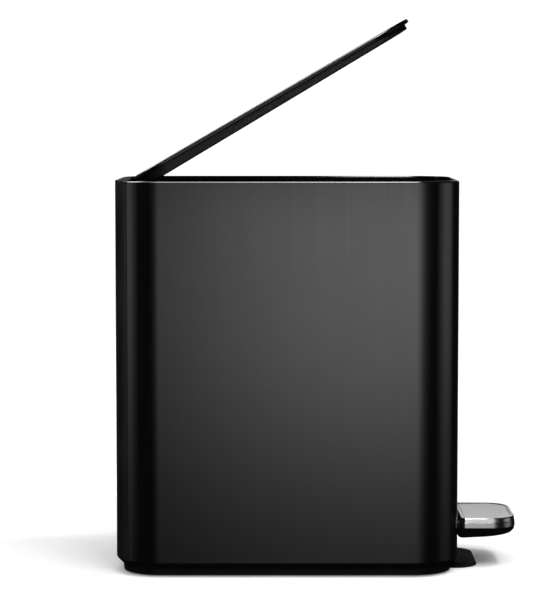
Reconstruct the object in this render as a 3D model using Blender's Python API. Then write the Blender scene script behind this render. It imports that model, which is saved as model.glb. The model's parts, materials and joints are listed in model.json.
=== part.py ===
"""Slim rectangular pedal can: a steel wrap on a moulded base, with a lid that a pedal lifts.

Metres, +Z up, floor at Z = 0. The pedal faces -Y and the back cover faces +Y.
Places along the depth are given by ahead(d), the Y of a point d in front of the back face.
Every piece is drawn with the lid shut and the pedal level; the lid's empty then swings it open.
"""

import math

import bmesh
import bpy
from mathutils import Matrix

# Body
BODY_DEPTH = 0.275
BODY_WIDTH = 0.160
BODY_TOP = 0.3145
CORNER_RADIUS = 0.036
PEDAL_REACH = 0.324
BACK_Y = PEDAL_REACH / 2
FRONT_Y = BACK_Y - BODY_DEPTH
GAP = 0.0003

# Sheet and moulding thicknesses
SHELL_SHEET = 0.0008
SHELL_BOTTOM = 0.0115
HEM_WIDTH = 0.0019
HEM_HEIGHT = 0.0055
COVER_WALL = 0.0018
SEAM_HALF_ANGLE = 0.3
INNER_INSET = 0.0021
INNER_WALL = 0.0018

# Lid
LID_INSET = 0.0025
LID_TIP = 0.2704
LID_REAR = 0.0081
LID_REAR_RADIUS = 0.040
LID_OPEN_ANGLE = 30.1
LID_SKIRT = 0.0034
LINER_INSET = 0.002
LINER_WALL = 0.0016
LINER_SETBACK = 0.002
LINER_PLATE = 0.002
LINER_REAR_DEPTH = 0.0110
LINER_TIP_DEPTH = 0.0074
HINGE_DEPTH = 0.0127
HINGE_Z = 0.3085
HINGE_X = 0.031
HINGE_PIN_RADIUS = 0.0016
HINGE_HOLE_RADIUS = 0.0019
EAR_RADIUS = 0.0036
EAR_HALF_SPAN = 0.0097

# Rim frame and bucket
RIM_LOW = 0.290
RIM_TOP = 0.3065
RIM_WALL = 0.0015
BUMPER_NEAR = 0.018
BUMPER_FAR = 0.040
BUMPER_WIDTH = 0.0035
DECK_LOW = 0.297
DECK_TOP = 0.2995
BUCKET_FLOOR = 0.046
BUCKET_WALL = 0.0015
FLANGE_TOP = 0.3018
BUCKET_REAR = 0.037
BUCKET_FRONT = 0.2670
BUCKET_HALF = 0.0720
BUCKET_DRAFT = 0.003
BUCKET_FRONT_RADIUS = 0.0285
BUCKET_REAR_RADIUS = 0.018
WELL_CLEARANCE = 0.0008
FLANGE_HALF = 0.0755
FLANGE_FRONT = 0.2705
FLANGE_REAR = 0.0332
FLANGE_RADIUS = 0.0315

# Base and feet
BASE_UNDERSIDE = 0.0009
BASE_FLOOR_LOW = 0.0045
BASE_FLOOR_TOP = 0.0070
BASE_UPSTAND = 0.0165
FOOT_RADIUS = 0.008
PLATE_TIP = 0.2924
PLATE_REAR = 0.237
PLATE_HALF = 0.042
PLATE_RADIUS = 0.018
PLATE_ROOT_HALF = 0.0355
PLATE_GAP_HALF = 0.044
PLATE_GAP_TOP = 0.003

# Pedal
PEDAL_HALF = 0.0385
PEDAL_REAR = 0.278
PEDAL_BODY_REAR = 0.2759
PEDAL_TOP = 0.0402
PEDAL_SPLIT = 0.0315
PEDAL_LOW = 0.0235
PEDAL_RISE = 0.045
PEDAL_TIP_RADIUS = 0.0195
PEDAL_REAR_RADIUS = 0.005
BEZEL_PROUD = 0.0014
BEZEL_GAP_HALF = 0.0218
LEVER_LOW = 0.027
LEVER_TOP = 0.030
LEVER_HALF = 0.011
LEVER_REACH = 0.303
LEVER_REAR = 0.019
PIVOT_Y = BACK_Y - 0.159
PIVOT_Z = 0.022
PIVOT_RADIUS = 0.0025
BUSH_RADIUS = 0.0040

# Crank, push rod and damper
CRANK_RADIUS = 0.015
CRANK_DROP_ANGLE = 39.0
CRANK_NOSE = 0.0025
CRANK_FLANGE = 0.0016
ROD_DEPTH = 0.026
ROD_RADIUS = 0.002
ROD_LOW = 0.0327
ROD_TIP_TOP = 0.3032
DAMPER_DEPTH = 0.010
DAMPER_RADIUS = 0.0065
DAMPER_LOW = 0.110
DAMPER_TOP = 0.190
LINK_LOW = 0.222
LINK_TOP = 0.228

# Screws
SCREW_RADIUS = 0.0015
SCREW_HOLE = 0.0019
SCREW_HEAD_RADIUS = 0.0032
PLATE_SCREW_X = 0.025
PLATE_SCREW_DEPTH = 0.250
BRACKET_SCREW_X = 0.0215
PEDAL_SCREW_X = 0.006
PEDAL_SCREW_DEPTH = 0.293
ARM_SCREW_DEPTH = 0.0407
CRANK_SCREW_X = 0.0082
CRANK_SCREW_DEPTH = 0.0242

CORNER_STEPS = 10
SHARP_ANGLE = math.radians(35)

FINISHES = {
    "black_steel": ((0.016, 0.016, 0.017, 1.0), 0.36, 0.75),
    "rear_plastic": ((0.010, 0.010, 0.011, 1.0), 0.48, 0.0),
    "black_plastic": ((0.012, 0.012, 0.013, 1.0), 0.42, 0.0),
    "brushed_steel": ((0.50, 0.50, 0.50, 1.0), 0.32, 1.0),
    "zinc_steel": ((0.42, 0.43, 0.44, 1.0), 0.40, 1.0),
    "grey_plastic": ((0.055, 0.056, 0.058, 1.0), 0.50, 0.0),
    "nylon": ((0.62, 0.62, 0.58, 1.0), 0.45, 0.0),
    "rubber": ((0.020, 0.020, 0.020, 1.0), 0.80, 0.0),
}


def ahead(depth):
    """Y of a point that lies depth in front of the back face."""
    return BACK_Y - depth


def rounded_rectangle(half_x, front_y, back_y, front_radius, back_radius, steps=CORNER_STEPS):
    """Plan outline, anticlockwise seen from above, with its own radius front and back."""
    corners = [
        (half_x - front_radius, front_y + front_radius, front_radius, -90),
        (half_x - back_radius, back_y - back_radius, back_radius, 0),
        (back_radius - half_x, back_y - back_radius, back_radius, 90),
        (front_radius - half_x, front_y + front_radius, front_radius, 180),
    ]
    points = []
    for centre_x, centre_y, radius, start in corners:
        for step in range(steps + 1):
            angle = math.radians(start + 90 * step / steps)
            points.append((centre_x + radius * math.cos(angle), centre_y + radius * math.sin(angle)))
    return points


def body_outline(inset):
    """The can's plan outline, drawn inset from its outer face."""
    radius = CORNER_RADIUS - inset
    return rounded_rectangle(BODY_WIDTH / 2 - inset, FRONT_Y + inset, BACK_Y - inset, radius, radius)


def lid_outline(inset, setback=0.0):
    """The lid's plan outline, with wider corners at the hinge; setback draws only its tip back."""
    return rounded_rectangle(
        BODY_WIDTH / 2 - LID_INSET - inset,
        ahead(LID_TIP) + inset + setback,
        ahead(LID_REAR) - inset,
        CORNER_RADIUS - LID_INSET - inset,
        LID_REAR_RADIUS - inset,
    )


def liner_outline(inset):
    """The liner's plan outline: its tip lies further back than the skin's."""
    return lid_outline(inset, LINER_SETBACK)


def wall_path(inset, start, end):
    """Open run of the body outline, between two angles round the can (0 at +X, 90 at the back)."""
    radius = CORNER_RADIUS - inset
    centre_x = BODY_WIDTH / 2 - CORNER_RADIUS
    quadrants = [
        (centre_x, BACK_Y - CORNER_RADIUS, 0),
        (-centre_x, BACK_Y - CORNER_RADIUS, 90),
        (-centre_x, FRONT_Y + CORNER_RADIUS, 180),
        (centre_x, FRONT_Y + CORNER_RADIUS, 270),
        (centre_x, BACK_Y - CORNER_RADIUS, 360),
    ]
    points = []
    for corner_x, corner_y, first in quadrants:
        low = max(start, first)
        high = min(end, first + 90)
        if high <= low:
            continue
        steps = max(2, round(CORNER_STEPS * (high - low) / 90))
        for step in range(steps + 1):
            angle = math.radians(low + (high - low) * step / steps)
            points.append((corner_x + radius * math.cos(angle), corner_y + radius * math.sin(angle)))
    return points


def at_height(points, z):
    """Lift a plan outline to a height."""
    return [(x, y, z) for x, y in points]


def circle(radius, height, steps=24):
    """Ring of points round the Z axis."""
    turns = [2 * math.pi * step / steps for step in range(steps)]
    return [(radius * math.cos(turn), radius * math.sin(turn), height) for turn in turns]


def skin(name, loops, capped=True, matrix=None):
    """Closed body through matching loops: capped at both ends, or joined round into a ring."""
    bm = bmesh.new()
    rows = [[bm.verts.new(point) for point in loop] for loop in loops]
    pairs = list(zip(rows, rows[1:]))
    if capped:
        bm.faces.new(list(reversed(rows[0])))
        bm.faces.new(rows[-1])
    else:
        pairs.append((rows[-1], rows[0]))
    for low, high in pairs:
        for index in range(len(low)):
            after = (index + 1) % len(low)
            bm.faces.new((low[index], low[after], high[after], high[index]))
    if matrix is not None:
        bmesh.ops.transform(bm, matrix=matrix, verts=bm.verts)
    bmesh.ops.recalc_face_normals(bm, faces=bm.faces)
    mesh = bpy.data.meshes.new(name)
    bm.to_mesh(mesh)
    bm.free()
    piece = bpy.data.objects.new(name, mesh)
    bpy.context.scene.collection.objects.link(piece)
    return piece


def prism(name, points, axis, low, high):
    """Extrude an outline from low to high along one axis; points hold the other two, in order."""
    place = {
        "X": lambda a, b, t: (t, a, b),
        "Y": lambda a, b, t: (a, t, b),
        "Z": lambda a, b, t: (a, b, t),
    }[axis]
    return skin(name, [[place(a, b, t) for a, b in points] for t in (low, high)])


def block(name, x, y, z):
    """Box between pairs of X, Y and Z; a pair may be given either way round."""
    corners = [(min(x), min(y)), (max(x), min(y)), (max(x), max(y)), (min(x), max(y))]
    return prism(name, corners, "Z", min(z), max(z))


def turned(name, profile, place=(0, 0, 0), axis="Z", capped=True, steps=24):
    """Turn (radius, height) points round an axis through place."""
    spin = {
        "X": Matrix.Rotation(math.radians(90), 4, "Y"),
        "Y": Matrix.Rotation(math.radians(-90), 4, "X"),
        "Z": Matrix.Identity(4),
    }[axis]
    loops = [circle(radius, height, steps) for radius, height in profile]
    return skin(name, loops, capped, Matrix.Translation(place) @ spin)


def rod(name, radius, low, high, place=(0, 0, 0), axis="Z", edge=0.0, steps=24):
    """Round bar along an axis, with chamfered ends where edge is given."""
    if not edge:
        return turned(name, [(radius, low), (radius, high)], place, axis, steps=steps)
    profile = [(radius - edge, low), (radius, low + edge), (radius, high - edge), (radius - edge, high)]
    return turned(name, profile, place, axis, steps=steps)


def combine(body, operation, tools):
    """Join the tools to the body (UNION), or take them out of it (DIFFERENCE, INTERSECT)."""
    for tool in tools:
        modifier = body.modifiers.new(operation.title(), "BOOLEAN")
        modifier.operation = operation
        modifier.solver = "EXACT"
        modifier.object = tool
    evaluated = body.evaluated_get(bpy.context.evaluated_depsgraph_get())
    mesh = bpy.data.meshes.new_from_object(evaluated)
    body.modifiers.clear()
    body.data = mesh
    for tool in tools:
        bpy.data.objects.remove(tool)
    return body


def finish(piece, finish_name):
    """Give a piece its material and smooth shading with sharp edges kept."""
    material = bpy.data.materials.get(finish_name)
    if material is None:
        colour, roughness, metallic = FINISHES[finish_name]
        material = bpy.data.materials.new(finish_name)
        material.use_nodes = True
        shader = material.node_tree.nodes["Principled BSDF"]
        shader.inputs["Base Color"].default_value = colour
        shader.inputs["Roughness"].default_value = roughness
        shader.inputs["Metallic"].default_value = metallic
        material.diffuse_color = colour
    piece.data.materials.clear()
    piece.data.materials.append(material)
    piece.data.shade_smooth()
    piece.data.set_sharp_from_angle(angle=SHARP_ANGLE)
    return piece


def pivot(name, place):
    """Empty that marks a joint's axis and carries the pieces that move about it."""
    empty = bpy.data.objects.new(name, None)
    empty.location = place
    empty.empty_display_size = 0.02
    bpy.context.scene.collection.objects.link(empty)
    return empty


def hang(pieces, empty):
    """Parent pieces to an empty and keep them where they were drawn."""
    shift = Matrix.Translation([-value for value in empty.location])
    for piece in pieces:
        piece.data.transform(shift)
        piece.parent = empty


def screw(name, finish_name, place, shank, head=0.0016, up=True):
    """Pan-head screw along Z: place is where the head's seat and the axis meet."""
    turn = 1 if up else -1
    profile = [
        (SCREW_RADIUS - 0.0004, -shank),
        (SCREW_RADIUS, -shank + 0.0004),
        (SCREW_RADIUS, 0.0),
        (SCREW_HEAD_RADIUS, 0.0),
        (SCREW_HEAD_RADIUS, head - 0.0005),
        (SCREW_HEAD_RADIUS - 0.0008, head),
    ]
    flipped = [(radius, height * turn) for radius, height in profile]
    return finish(turned(name, flipped, place, steps=16), finish_name)


def screw_hole(x, y, low, high):
    """Cutter for an upright clearance hole."""
    return rod("hole", SCREW_HOLE, low, high, (x, y, 0), steps=16)


# ---------------------------------------------------------------- body


def wall_strip(name, section, start, end):
    """Carry an (inset, height) section along the body outline between two angles."""
    rails = [(wall_path(inset, start, end), z) for inset, z in section]
    steps = range(len(rails[0][0]))
    return skin(name, [[(*rail[step], z) for rail, z in rails] for step in steps])


def make_outer_shell():
    """Steel wrap from seam to seam round the front, with a flat hem folded in along its top."""
    hem_foot = BODY_TOP - HEM_HEIGHT
    middle = HEM_WIDTH / 2
    section = [
        (0.0, SHELL_BOTTOM),
        (0.0, BODY_TOP - middle),
        (middle * 0.30, BODY_TOP - middle * 0.30),
        (middle, BODY_TOP),
        (HEM_WIDTH - middle * 0.30, BODY_TOP - middle * 0.30),
        (HEM_WIDTH, BODY_TOP - middle),
        (HEM_WIDTH, hem_foot),
        (SHELL_SHEET, hem_foot - 0.0004),
        (SHELL_SHEET, SHELL_BOTTOM),
    ]
    shell = wall_strip("outer_shell", section, 135 + SEAM_HALF_ANGLE, 405 - SEAM_HALF_ANGLE)
    slot = block("slot", (-0.015, 0.015), (FRONT_Y - 0.005, FRONT_Y + 0.005), (0.005, 0.0395))
    return finish(combine(shell, "DIFFERENCE", [slot]), "black_steel")


def make_back_cover():
    """Moulded cover that closes the back between the seams."""
    edge = 0.0005
    section = [
        (edge, SHELL_BOTTOM),
        (0.0, SHELL_BOTTOM + edge),
        (0.0, BODY_TOP - edge),
        (edge, BODY_TOP),
        (COVER_WALL - edge, BODY_TOP),
        (COVER_WALL, BODY_TOP - edge),
        (COVER_WALL, SHELL_BOTTOM),
    ]
    cover = wall_strip("back_cover", section, 45 + SEAM_HALF_ANGLE, 135 - SEAM_HALF_ANGLE)
    return finish(cover, "rear_plastic")


def make_base():
    """Tray that the wrap stands on: undercut skirt outside, upstand inside, hollow underneath."""
    profile = [
        (0.0095, BASE_FLOOR_LOW),
        (0.0095, BASE_UNDERSIDE),
        (0.0066, BASE_UNDERSIDE),
        (0.0059, BASE_UNDERSIDE + 0.0007),
        (0.0054, 0.0052),
        (0.0048, 0.0065),
        (0.0036, 0.0077),
        (0.0016, 0.0098),
        (0.0006, 0.0107),
        (0.0004, SHELL_BOTTOM - GAP),
        (INNER_INSET, SHELL_BOTTOM - GAP),
        (INNER_INSET, BASE_UPSTAND),
        (INNER_INSET + INNER_WALL, BASE_UPSTAND),
        (INNER_INSET + INNER_WALL, 0.0082),
        (INNER_INSET + INNER_WALL + 0.0012, BASE_FLOOR_TOP),
    ]
    base = skin("base", [at_height(body_outline(inset), z) for inset, z in profile])
    tools = [
        block("lever_gap", (-0.015, 0.015), (FRONT_Y, FRONT_Y + 0.006), (0.0125, 0.030)),
        block(
            "plate_gap", (-PLATE_GAP_HALF, PLATE_GAP_HALF), (FRONT_Y - 0.001, FRONT_Y + 0.012),
            (0.0, PLATE_GAP_TOP),
        ),
    ]
    for side in (-1, 1):
        tools.append(screw_hole(side * BRACKET_SCREW_X, PIVOT_Y, 0.003, 0.009))
        tools.append(screw_hole(side * PLATE_SCREW_X, ahead(PLATE_SCREW_DEPTH), 0.003, 0.009))
    return finish(combine(base, "DIFFERENCE", tools), "black_plastic")


def make_foot_plate():
    """Thin blade that reaches forward along the floor so the can doesn't tip, on a thicker root."""
    low = 0.0004
    tip_y = ahead(PLATE_TIP)
    rear_y = ahead(PLATE_REAR)

    def shape(inset):
        radius = PLATE_RADIUS - inset
        return rounded_rectangle(PLATE_HALF - inset, tip_y + inset, rear_y - inset, radius, radius)

    layers = [
        (0.0003, low),
        (0.0, low + 0.0002),
        (0.0, 0.0009),
        (0.0065, 0.0013),
        (0.0120, 0.0020),
        (0.0160, 0.0024),
    ]
    plate = skin("foot_plate", [at_height(shape(inset), z) for inset, z in layers])
    root_y = (ahead(PLATE_REAR + 0.001), ahead(0.265))
    root = block("root", (-PLATE_ROOT_HALF, PLATE_ROOT_HALF), root_y, (0.0008, BASE_FLOOR_LOW - GAP))
    combine(plate, "UNION", [root])
    holes = []
    for side in (-1, 1):
        profile = [(0.0038, -0.001), (0.0038, 0.0023), (SCREW_HOLE, 0.0023), (SCREW_HOLE, 0.006)]
        holes.append(turned("hole", profile, (side * PLATE_SCREW_X, ahead(PLATE_SCREW_DEPTH), 0), steps=16))
    return finish(combine(plate, "DIFFERENCE", holes), "black_plastic")


def make_feet():
    """Four rubber pads under the base floor."""
    places = {
        "foot_front_left": (-0.056, ahead(0.246)),
        "foot_front_right": (0.056, ahead(0.246)),
        "foot_rear_left": (-0.056, ahead(0.028)),
        "foot_rear_right": (0.056, ahead(0.028)),
    }
    for name, (x, y) in places.items():
        profile = [
            (FOOT_RADIUS - 0.0006, 0.0),
            (FOOT_RADIUS, 0.0006),
            (FOOT_RADIUS, 0.0030),
            (FOOT_RADIUS - 0.001, BASE_FLOOR_LOW - GAP),
        ]
        finish(turned(name, profile, (x, y, 0)), "rubber")


def make_bezel():
    """Plate round the slot that the lever comes out of."""
    low = BASE_FLOOR_LOW
    half = 0.021
    top = 0.0412
    radius = 0.005

    def shape(inset):
        points = [(inset - half, low + inset), (half - inset, low + inset)]
        for side, start in ((1, 0), (-1, 90)):
            for step in range(6):
                angle = math.radians(start + 18 * step)
                x = side * (half - radius) + (radius - inset) * math.cos(angle)
                points.append((x, top - radius + (radius - inset) * math.sin(angle)))
        return points

    face = FRONT_Y - BEZEL_PROUD
    layers = [(0.0, FRONT_Y - GAP), (0.0, face + 0.0005), (0.0005, face)]
    loops = [[(x, y, z) for x, z in shape(inset)] for inset, y in layers]
    bezel = skin("pedal_bezel", loops)
    slot = block("slot", (-0.0132, 0.0132), (FRONT_Y - 0.006, FRONT_Y + 0.002), (0.0150, 0.0388))
    return finish(combine(bezel, "DIFFERENCE", [slot]), "black_plastic")


def make_rim_frame():
    """Moulded frame inside the top: a ring wall, a deck for the bucket, hinge ears and a rear strip."""
    ring = [
        (INNER_INSET, RIM_LOW),
        (INNER_INSET, RIM_TOP),
        (INNER_INSET + RIM_WALL, RIM_TOP),
        (INNER_INSET + RIM_WALL, RIM_LOW),
    ]
    frame = skin("rim_frame", [at_height(body_outline(inset), z) for inset, z in ring], capped=False)

    deck = prism("deck", body_outline(INNER_INSET + 0.0008), "Z", DECK_LOW, DECK_TOP)
    well = rounded_rectangle(
        BUCKET_HALF + WELL_CLEARANCE,
        ahead(BUCKET_FRONT + WELL_CLEARANCE),
        ahead(BUCKET_REAR - WELL_CLEARANCE),
        BUCKET_FRONT_RADIUS,
        BUCKET_REAR_RADIUS,
    )
    through = (DECK_LOW - 0.01, DECK_TOP + 0.01)
    combine(deck, "DIFFERENCE", [
        prism("well", well, "Z", *through),
        block("crank_slot", (-0.0078, 0.0078), (ahead(0.0185), ahead(0.0318)), through),
    ])

    strip = [
        (ahead(0.0015), RIM_TOP - 0.0012),
        (ahead(0.0048), RIM_TOP - 0.0012),
        (ahead(0.0048), 0.3101),
        (ahead(0.0063), 0.3126),
        (ahead(0.0063), BODY_TOP - GAP),
        (ahead(0.0015), BODY_TOP - GAP),
    ]
    rear = prism("rear_strip", strip, "X", -0.070, 0.070)
    limit = prism("limit", body_outline(INNER_INSET + 0.0003), "Z", RIM_LOW, BODY_TOP + 0.005)
    combine(rear, "INTERSECT", [limit])

    tools = [deck, rear]
    for side in (-1, 1):
        for offset in (-0.0068, 0.0068):
            middle = side * HINGE_X + offset
            tools.append(make_ear(middle - 0.0017, middle + 0.0017))
    combine(frame, "UNION", tools)
    bores = [
        rod("bore", HINGE_HOLE_RADIUS, -0.0095, 0.0095, (side * HINGE_X, ahead(HINGE_DEPTH), HINGE_Z), "X")
        for side in (-1, 1)
    ]
    return finish(combine(frame, "DIFFERENCE", bores), "black_plastic")


def make_ear(low, high):
    """Round-topped hinge ear that stands on the deck."""
    hinge_y = ahead(HINGE_DEPTH)
    points = [(hinge_y + EAR_RADIUS, DECK_TOP - 0.001), (hinge_y - EAR_RADIUS, DECK_TOP - 0.001)]
    for step in range(13):
        angle = math.radians(180 - 15 * step)
        points.append((hinge_y + EAR_RADIUS * math.cos(angle), HINGE_Z + EAR_RADIUS * math.sin(angle)))
    return prism("ear", points, "X", low, high)


def make_bucket():
    """Lift-out bucket that hangs by its flange on the deck."""

    def shape(inset):
        return rounded_rectangle(
            BUCKET_HALF - inset, ahead(BUCKET_FRONT) + inset, ahead(BUCKET_REAR) - inset,
            BUCKET_FRONT_RADIUS - inset, BUCKET_REAR_RADIUS - inset,
        )

    def brim(inset):
        return rounded_rectangle(
            FLANGE_HALF - inset, ahead(FLANGE_FRONT) + inset, ahead(FLANGE_REAR) - inset,
            FLANGE_RADIUS - inset, BUCKET_REAR_RADIUS - inset,
        )

    loops = [
        at_height(shape(BUCKET_DRAFT + 0.006), BUCKET_FLOOR),
        at_height(shape(BUCKET_DRAFT + 0.002), BUCKET_FLOOR + 0.0012),
        at_height(shape(BUCKET_DRAFT), BUCKET_FLOOR + 0.005),
        at_height(shape(0.0), DECK_TOP + GAP),
        at_height(brim(0.0), DECK_TOP + GAP),
        at_height(brim(0.0), FLANGE_TOP - 0.0005),
        at_height(brim(0.0005), FLANGE_TOP),
        at_height(shape(BUCKET_WALL - 0.0004), FLANGE_TOP),
        at_height(shape(BUCKET_WALL), FLANGE_TOP - 0.0006),
        at_height(shape(BUCKET_DRAFT + BUCKET_WALL), BUCKET_FLOOR + 0.0055),
        at_height(shape(BUCKET_DRAFT + 0.0065), BUCKET_FLOOR + 0.0018),
    ]
    return finish(skin("inner_bucket", loops), "grey_plastic")


def make_bumpers():
    """Rubber strips on the rim frame's front wall, reaching in to where the lid's skirt comes down."""
    low = RIM_TOP + GAP
    top = BODY_TOP - LID_SKIRT - GAP
    near = FRONT_Y + INNER_INSET
    far = near + BUMPER_WIDTH
    edge = 0.0005
    section = [
        (near, low),
        (far, low),
        (far, top - edge),
        (far - edge, top),
        (near + edge, top),
        (near, top - edge),
    ]
    for side, name in ((-1, "lid_bumper_left"), (1, "lid_bumper_right")):
        ends = (side * BUMPER_NEAR, side * BUMPER_FAR)
        finish(prism(name, section, "X", min(ends), max(ends)), "rubber")


# ---------------------------------------------------------------- lid


def lid_underside(y):
    """Height of the liner's underside at Y: a wedge that gets thinner towards the tip."""
    share = (ahead(LID_REAR) - y) / (LID_TIP - LID_REAR)
    return BODY_TOP - LINER_REAR_DEPTH + share * (LINER_REAR_DEPTH - LINER_TIP_DEPTH)


def on_underside(points, rise):
    """Plan outline laid on the liner's underside, lifted by rise."""
    return [(x, y, lid_underside(y) + rise) for x, y in points]


def make_lid_skin():
    """Thin steel top with a short skirt, notched at the hinge ears."""
    sheet = SHELL_SHEET
    low = BODY_TOP - LID_SKIRT
    loops = [
        at_height(lid_outline(0.0018), BODY_TOP - sheet),
        at_height(lid_outline(sheet), BODY_TOP - sheet - 0.0008),
        at_height(lid_outline(sheet), low),
        at_height(lid_outline(0.0), low),
        at_height(lid_outline(0.0), BODY_TOP - 0.0012),
        at_height(lid_outline(0.0004), BODY_TOP - 0.0004),
        at_height(lid_outline(0.0012), BODY_TOP),
    ]
    tools = []
    for side in (-1, 1):
        wide = (side * HINGE_X - EAR_HALF_SPAN, side * HINGE_X + EAR_HALF_SPAN)
        tall = (low - 0.002, BODY_TOP - sheet - 0.0004)
        tools.append(block("notch", wide, (BACK_Y, ahead(0.012)), tall))
    return finish(combine(skin("lid_skin", loops), "DIFFERENCE", tools), "black_steel")


def make_lid_liner():
    """Moulded tray that closes the lid from below."""
    top = BODY_TOP - SHELL_SHEET - 0.0005
    inner = LINER_INSET + LINER_WALL
    loops = [
        on_underside(liner_outline(LINER_INSET + 0.0008), 0.0),
        on_underside(liner_outline(LINER_INSET), 0.0007),
        at_height(liner_outline(LINER_INSET), top),
        at_height(liner_outline(inner), top),
        on_underside(liner_outline(inner), LINER_PLATE),
    ]
    tools = []
    for side in (-1, 1):
        wide = (side * HINGE_X - EAR_HALF_SPAN, side * HINGE_X + EAR_HALF_SPAN)
        tools.append(block("notch", wide, (BACK_Y, ahead(0.0197)), (0.300, 0.320)))
        tools.append(screw_hole(side * HINGE_X, ahead(ARM_SCREW_DEPTH), 0.300, 0.310))
        tools.append(screw_hole(side * CRANK_SCREW_X, ahead(CRANK_SCREW_DEPTH), 0.300, 0.310))
    return finish(combine(skin("lid_liner", loops), "DIFFERENCE", tools), "black_plastic")


def make_hinge_arms():
    """Steel arms inside the lid, each with a knuckle round its pin."""
    arms = []
    for side, name in ((-1, "hinge_arm_left"), (1, "hinge_arm_right")):
        centre = (side * HINGE_X, ahead(HINGE_DEPTH), HINGE_Z)
        arm = rod(name, 0.0034, -0.0046, 0.0046, centre, "X")
        tongue = block(
            "tongue",
            (side * HINGE_X - 0.0046, side * HINGE_X + 0.0046),
            (ahead(HINGE_DEPTH), ahead(HINGE_DEPTH + 0.037)),
            (HINGE_Z - 0.0014, HINGE_Z + 0.0006),
        )
        combine(arm, "UNION", [tongue])
        combine(arm, "DIFFERENCE", [
            rod("bore", HINGE_HOLE_RADIUS, -0.010, 0.010, centre, "X"),
            screw_hole(side * HINGE_X, ahead(ARM_SCREW_DEPTH), 0.300, 0.320),
        ])
        arms.append(finish(arm, "zinc_steel"))
    return arms


def make_hinge_pins():
    """Two pins that the lid turns on, held in the rim frame's ears."""
    for side, name in ((-1, "hinge_pin_left"), (1, "hinge_pin_right")):
        centre = (side * HINGE_X, ahead(HINGE_DEPTH), HINGE_Z)
        finish(rod(name, HINGE_PIN_RADIUS, -0.0093, 0.0093, centre, "X", edge=0.0003), "zinc_steel")


def make_crank():
    """Lug under the lid with a round nose that the push rod lifts."""
    drop = math.radians(CRANK_DROP_ANGLE)
    nose_y = ahead(HINGE_DEPTH + CRANK_RADIUS * math.cos(drop))
    nose_z = HINGE_Z - CRANK_RADIUS * math.sin(drop)
    top = BODY_TOP - LINER_REAR_DEPTH - GAP
    points = [(nose_y + CRANK_NOSE, top - 0.001)]
    for step in range(13):
        angle = math.radians(-15 * step)
        points.append((nose_y + CRANK_NOSE * math.cos(angle), nose_z + CRANK_NOSE * math.sin(angle)))
    points.append((nose_y - CRANK_NOSE, top - 0.001))
    crank = prism("lid_crank", points, "X", -0.0045, 0.0045)
    flange = block("flange", (-0.0122, 0.0122), (ahead(0.0170), ahead(0.0285)), (top - CRANK_FLANGE, top))
    combine(crank, "UNION", [flange])
    holes = [
        screw_hole(side * CRANK_SCREW_X, ahead(CRANK_SCREW_DEPTH), 0.295, 0.310)
        for side in (-1, 1)
    ]
    return finish(combine(crank, "DIFFERENCE", holes), "black_plastic")


def make_lid_screws():
    """Screws of the hinge arms, driven from above, and of the crank, driven from below."""
    screws = []
    for side, word in ((-1, "left"), (1, "right")):
        seat = HINGE_Z + 0.0006 + GAP
        place = (side * HINGE_X, ahead(ARM_SCREW_DEPTH), seat)
        screws.append(screw(f"hinge_screw_{word}", "zinc_steel", place, 0.0050))
        seat = BODY_TOP - LINER_REAR_DEPTH - CRANK_FLANGE - 2 * GAP
        place = (side * CRANK_SCREW_X, ahead(CRANK_SCREW_DEPTH), seat)
        screws.append(screw(f"crank_screw_{word}", "zinc_steel", place, 0.0042, 0.0012, up=False))
    return screws


# ---------------------------------------------------------------- pedal and linkage


def pedal_outline(inset, tip=PEDAL_REACH, rear=PEDAL_REAR):
    """Pedal's plan outline, with wide front corners."""
    return rounded_rectangle(
        PEDAL_HALF - inset, ahead(tip) + inset, ahead(rear) - inset,
        PEDAL_TIP_RADIUS - inset, PEDAL_REAR_RADIUS - 0.8 * inset,
    )


def make_pedal_cap():
    """Steel cap pressed over the pedal's body."""
    loops = [
        at_height(pedal_outline(0.0026), PEDAL_TOP - 0.0011),
        at_height(pedal_outline(0.0011), PEDAL_TOP - 0.0026),
        at_height(pedal_outline(0.0010), PEDAL_SPLIT + GAP),
        at_height(pedal_outline(0.0), PEDAL_SPLIT + GAP),
        at_height(pedal_outline(0.0), PEDAL_TOP - 0.0022),
        at_height(pedal_outline(0.0006), PEDAL_TOP - 0.0009),
        at_height(pedal_outline(0.0020), PEDAL_TOP),
    ]
    return finish(skin("pedal_cap", loops), "brushed_steel")


def on_sole(points, rise):
    """Plan outline laid on the pedal's gently rising underside, lifted by rise."""
    rear_y = ahead(PEDAL_REAR)
    return [(x, y, PEDAL_LOW + PEDAL_RISE * (rear_y - y) + rise) for x, y in points]


def make_pedal_body():
    """Moulded tray under the cap: its underside sweeps up to the tip, its rear closes up to the can."""
    brim = PEDAL_SPLIT - GAP
    rear = PEDAL_BODY_REAR
    loops = [
        on_sole(pedal_outline(0.0030, 0.3120, rear + 0.0012), 0.0),
        on_sole(pedal_outline(0.0014, 0.3170, rear + 0.0004), 0.0005),
        on_sole(pedal_outline(0.0004, 0.3215, rear), 0.0019),
        at_height(pedal_outline(0.0002, 0.3234, rear), PEDAL_SPLIT - 0.0022),
        at_height(pedal_outline(0.0002, rear=rear), brim),
        at_height(pedal_outline(0.0018), brim),
        on_sole(pedal_outline(0.0022, 0.3175), 0.0050),
        on_sole(pedal_outline(0.0050, 0.3050), 0.0022),
    ]
    body = skin("pedal_body", loops)
    gap_half = LEVER_HALF + 0.0004
    gap_reach = (ahead(0.275), ahead(LEVER_REACH + 0.001))
    tools = [
        block("lever_gap", (-gap_half, gap_half), gap_reach, (LEVER_LOW - 0.0004, 0.033)),
        block("bezel_gap", (-BEZEL_GAP_HALF, BEZEL_GAP_HALF), (ahead(0.274), ahead(0.2776)), (0.015, 0.035)),
    ]
    for side in (-1, 1):
        tools.append(screw_hole(side * PEDAL_SCREW_X, ahead(PEDAL_SCREW_DEPTH), 0.020, 0.028))
    return finish(combine(body, "DIFFERENCE", tools), "black_plastic")


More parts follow.
